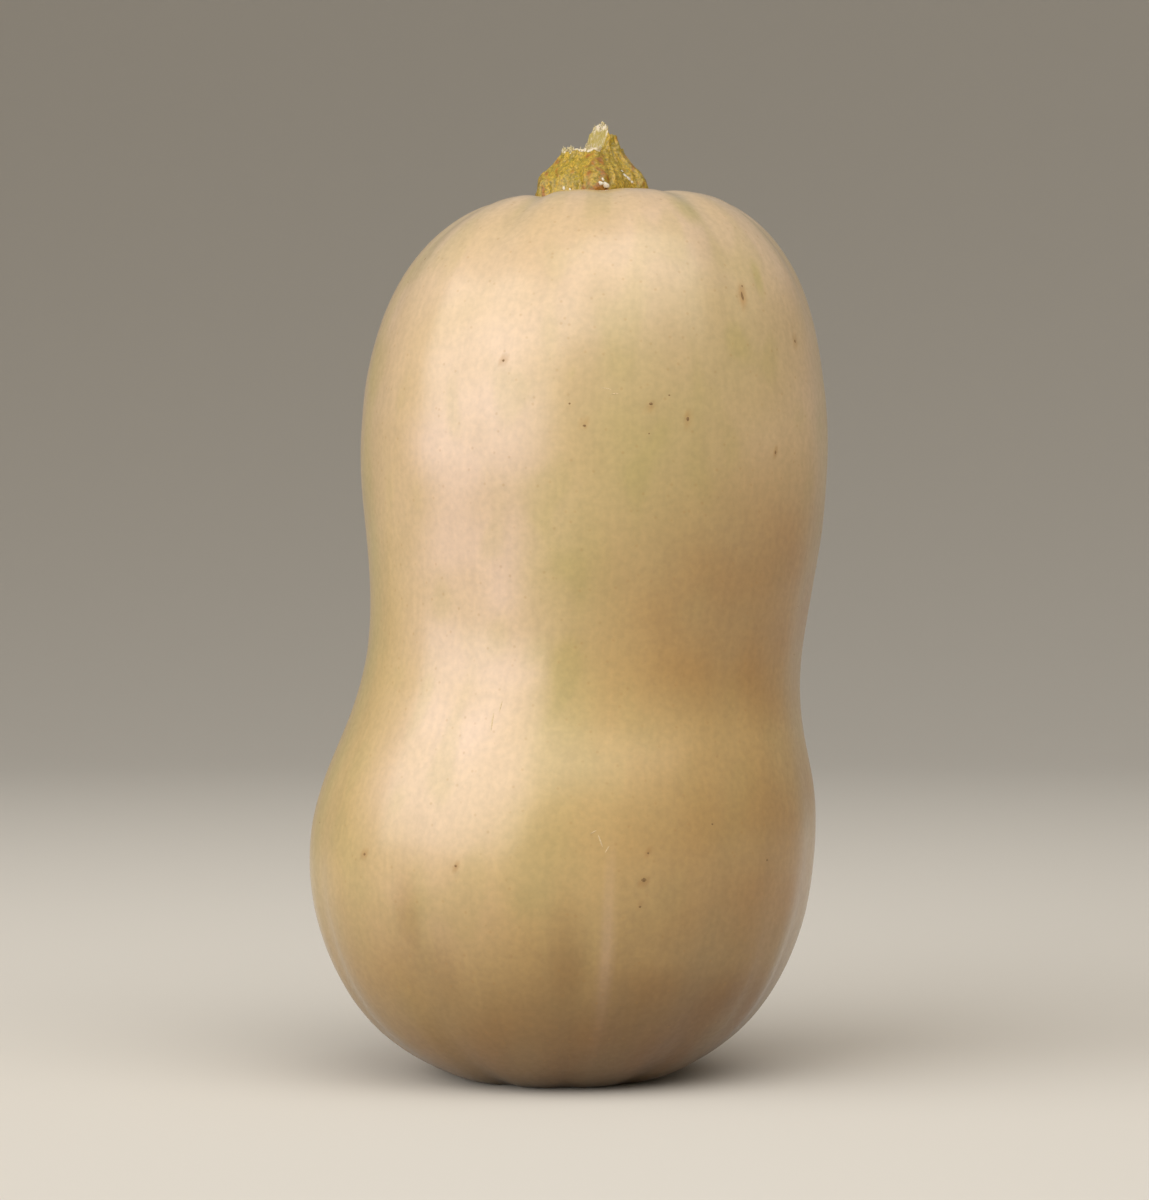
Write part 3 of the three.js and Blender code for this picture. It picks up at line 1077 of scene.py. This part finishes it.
class SQUASH_OT_stem(bpy.types.Operator):
    """Break off the stem and roughen its bark and its torn wood"""

    bl_idname = "squash.stem"
    bl_label = "Break stem"

    def execute(self, context):
        settings = context.scene.squash_stem
        points, normals, faces = broken_stalk(settings.cell / MM)
        height = points[:, 2]
        angle = np.arctan2(points[:, 0], -points[:, 1])
        torn, frayed = tear_of(points, angle)
        grooves = relief_at(around(BARK_RADIUS, angle, height), BARK_GROOVES)
        bark = relief_at(points, BARK_KNOBS) + grooves
        bark *= rise(height, SEAT_HEIGHT + 1.2, SEAT_HEIGHT + 3.2)
        lift = (1 - torn) * bark + torn * relief_at(points, WOOD_SPLITS)
        points = points + normals * lift[:, None]
        dried = dried_share(points, angle)
        shift = frame_shift() + (STEM_X, 0, 0)
        stem = add_piece("squash_stem", points + shift, faces, corky_bark(settings), "stem")
        for name, shares in (("torn", torn), ("frayed", frayed), ("dried", dried)):
            add_attribute(stem, name, "FLOAT", shares)
        return {"FINISHED"}


def fibre_shape(root, way, length, thick, draw):
    """A split fibre: a thin tapered rod with a slight bend, and its root sunk in the wood."""
    sides, joints = 5, 4
    across = way.orthogonal().normalized()
    third = way.cross(across)
    bend = (across * draw.uniform(-1, 1) + third * draw.uniform(-1, 1)) * length * 0.3
    points = []
    for joint in range(joints):
        share = joint / (joints - 1)
        middle = root + way * (length * 1.4 * share - length * 0.4) + bend * share * share
        radius = thick * (1 - 0.8 * share)
        for i in range(sides):
            turn = 2 * math.pi * i / sides
            side = across * math.cos(turn) + third * math.sin(turn)
            points.append(middle + side * radius)
    faces = [tuple(reversed(range(sides))), tuple((joints - 1) * sides + i for i in range(sides))]
    for joint in range(joints - 1):
        for i in range(sides):
            a = joint * sides + i
            b = joint * sides + (i + 1) % sides
            faces.append((a, b, b + sides, a + sides))
    return points, faces


def rim_points(mesh):
    """The points of the stem's mesh along the edges of the break, in tufts."""
    frayed = read_floats(mesh.attributes["frayed"].data, "value")
    torn = read_floats(mesh.attributes["torn"].data, "value")
    lowest = (LEDGE_HEIGHT - 1.3) * MM
    return [
        point
        for point, edge, wood in zip(mesh.vertices, frayed, torn)
        if edge > 0.3 and wood > 0.6 and point.co.z > lowest
        and noise.noise(point.co / (1.6 * MM)) > -0.05
    ]


class SQUASH_OT_fibres(bpy.types.Operator):
    """Raise split fibres along the edges of the break"""

    bl_idname = "squash.fibres"
    bl_label = "Split fibres"

    def execute(self, context):
        settings = context.scene.squash_stem
        rim = rim_points(bpy.data.objects["squash_stem"].data)
        draw = random.Random(5)
        shapes = []
        for point in draw.sample(rim, min(settings.fibres, len(rim))):
            lean = Vector((draw.uniform(-0.25, 0.25), draw.uniform(-0.25, 0.25), 1))
            way = (lean + point.normal * 0.35).normalized()
            worn = 0.55 if point.co.z > (TIP_HEIGHT - 2.7) * MM else 1
            length = draw.uniform(0.4, 1.1) * worn
            thick = draw.uniform(0.14, 0.36)
            shapes.append(fibre_shape(point.co / MM, way, length, thick, draw))
        points, faces = joined(shapes)
        add_piece("torn_fibres", points, faces, dry_fibre(settings))
        return {"FINISHED"}


def drop_shape(middle, out, radius, draw):
    """A drop that has spread on the bark and sagged a little: its points and faces."""
    rings, columns = 9, 20
    across = Vector((0, 0, 1)).cross(out).normalized()
    up = out.cross(across)
    bumps = [9 * draw.uniform(0.88, 1.12) for _ in range(5)]
    points = [middle - out * radius * 0.5]
    for ring in range(rings):
        polar = math.pi * (1 - (ring + 1) / (rings + 1))
        reach = radius * math.sin(polar)
        for i in range(columns):
            turn = 2 * math.pi * i / columns
            wide = 1 + 0.2 * math.sin(2 * turn + bumps[0]) + 0.13 * math.sin(3 * turn + bumps[1])
            sag = 0.25 * min(0, math.sin(turn))
            side = across * (wide * math.cos(turn)) + up * (wide * math.sin(turn) + sag)
            points.append(middle + side * reach + out * (0.5 * radius * math.cos(polar)))
    points.append(middle + out * radius * 0.5)
    return points, revolved_faces(rings, columns)


class SQUASH_OT_sap(bpy.types.Operator):
    """Set drops of dried sap on the bark"""

    bl_idname = "squash.sap"
    bl_label = "Add sap"

    def execute(self, context):
        settings = context.scene.squash_stem
        draw = random.Random(3)
        shift = Vector(frame_shift() + (STEM_X, 0, 0))
        shapes = []
        for degrees, height, size in SAP_DROPS:
            turn = math.radians(degrees)
            radius = stalk_radius(turn, height)
            slope = stalk_radius(turn, height + 1) - radius
            out = Vector((math.sin(turn), -math.cos(turn), -slope)).normalized()
            sunk = radius - 0.15 * size
            middle = shift + Vector((sunk * math.sin(turn), -sunk * math.cos(turn), height))
            shapes.append(drop_shape(middle, out, size, draw))
        points, faces = joined(shapes)
        add_piece("sap_drops", points, faces, dried_sap(settings))
        return {"FINISHED"}


def add_light(name, place, target, size, power, colour):
    """A soft box that faces a point."""
    lamp = bpy.data.lights.new(name, "AREA")
    lamp.shape = "RECTANGLE"
    lamp.size, lamp.size_y = size
    lamp.spread = math.radians(SOFTBOX_SPREAD)
    lamp.energy = power
    lamp.color = colour[:3]
    light = bpy.data.objects.new(name, lamp)
    light.visible_camera = False
    light.location = place
    light.rotation_euler = (Vector(target) - Vector(place)).to_track_quat("-Z", "Y").to_euler()
    bpy.context.scene.collection.objects.link(light)


def add_backdrop(colour):
    """A round floor that bends up into a wall on all sides, far enough off for any view."""
    floor_radius, bend, top, columns, steps = 1.5, 0.6, 1, 96, 12
    line = [(floor_radius, 0)]
    for step in range(1, steps + 1):
        turn = math.pi / 2 * step / steps
        line.append((floor_radius + bend * math.sin(turn), bend * (1 - math.cos(turn))))
    line.append((floor_radius + bend, top))
    turns = [2 * math.pi * i / columns for i in range(columns)]
    points = [(0, 0, 0)]
    points += [(r * math.cos(turn), r * math.sin(turn), z) for r, z in line for turn in turns]
    faces = []
    for i in range(columns):
        j = (i + 1) % columns
        faces.append((0, 1 + i, 1 + j))
        for ring in range(len(line) - 1):
            low = 1 + ring * columns
            faces.append((low + i, low + columns + i, low + columns + j, low + j))
    backdrop = add_mesh("backdrop", points, faces)
    backdrop.data.materials.append(matt_plaster(colour))


class SQUASH_OT_stage(bpy.types.Operator):
    """Set up the floor, the soft lights and the camera"""

    bl_idname = "squash.stage"
    bl_label = "Set stage"

    def execute(self, context):
        scene = context.scene
        settings = scene.squash_stage
        add_backdrop(settings.backdrop)
        middle = (0, 0, cad_box[1][2] / 2)
        for name, place, size, colour in SOFTBOXES:
            power = getattr(settings, name + "_power")
            add_light(name + "_light", place, middle, size, power, linear(colour))
        world = bpy.data.worlds.new("soft_surroundings")
        world.use_nodes = True
        sky = world.node_tree.nodes["Background"].inputs
        sky["Color"].default_value = linear("F4F1EC")
        sky["Strength"].default_value = settings.surroundings
        scene.world = world

        lens = bpy.data.cameras.new("camera")
        lens.sensor_width = 36
        lens.lens = settings.lens
        lens.clip_start = 0.01
        camera = bpy.data.objects.new("camera", lens)
        camera.location = (settings.eye_side, -settings.distance, settings.eye_height)
        camera.rotation_euler = (math.pi / 2, 0, 0)
        scene.collection.objects.link(camera)
        scene.camera = camera
        scene.view_settings.view_transform = "Standard"
        return {"FINISHED"}


class SQUASH_PT_panel(bpy.types.Panel):
    bl_label = "Butternut squash"
    bl_idname = "SQUASH_PT_panel"
    bl_space_type = "VIEW_3D"
    bl_region_type = "UI"
    bl_category = "Squash"

    def draw(self, context):
        for settings, operators in (
            (context.scene.squash_skin, ("squash.fruit", "squash.marks")),
            (context.scene.squash_stem, ("squash.stem", "squash.fibres", "squash.sap")),
            (context.scene.squash_stage, ("squash.stage",)),
        ):
            box = self.layout.box()
            for name in settings.__annotations__:
                box.prop(settings, name)
            for operator in operators:
                box.operator(operator)


CLASSES = (
    SquashSkinSettings,
    SquashStemSettings,
    SquashStageSettings,
    SQUASH_OT_fruit,
    SQUASH_OT_marks,
    SQUASH_OT_stem,
    SQUASH_OT_fibres,
    SQUASH_OT_sap,
    SQUASH_OT_stage,
    SQUASH_PT_panel,
)


def register():
    for each in CLASSES:
        bpy.utils.register_class(each)
    bpy.types.Scene.squash_skin = bpy.props.PointerProperty(type=SquashSkinSettings)
    bpy.types.Scene.squash_stem = bpy.props.PointerProperty(type=SquashStemSettings)
    bpy.types.Scene.squash_stage = bpy.props.PointerProperty(type=SquashStageSettings)


def unregister():
    del bpy.types.Scene.squash_stage
    del bpy.types.Scene.squash_stem
    del bpy.types.Scene.squash_skin
    for each in reversed(CLASSES):
        bpy.utils.unregister_class(each)


def main():
    """Sets the stage and grows the squash on it."""
    register()
    bpy.ops.squash.stage()
    bpy.ops.squash.fruit()
    bpy.ops.squash.marks()
    bpy.ops.squash.stem()
    bpy.ops.squash.fibres()
    bpy.ops.squash.sap()
    bpy.context.view_layer.update()


if __name__ == "__main__":
    main()
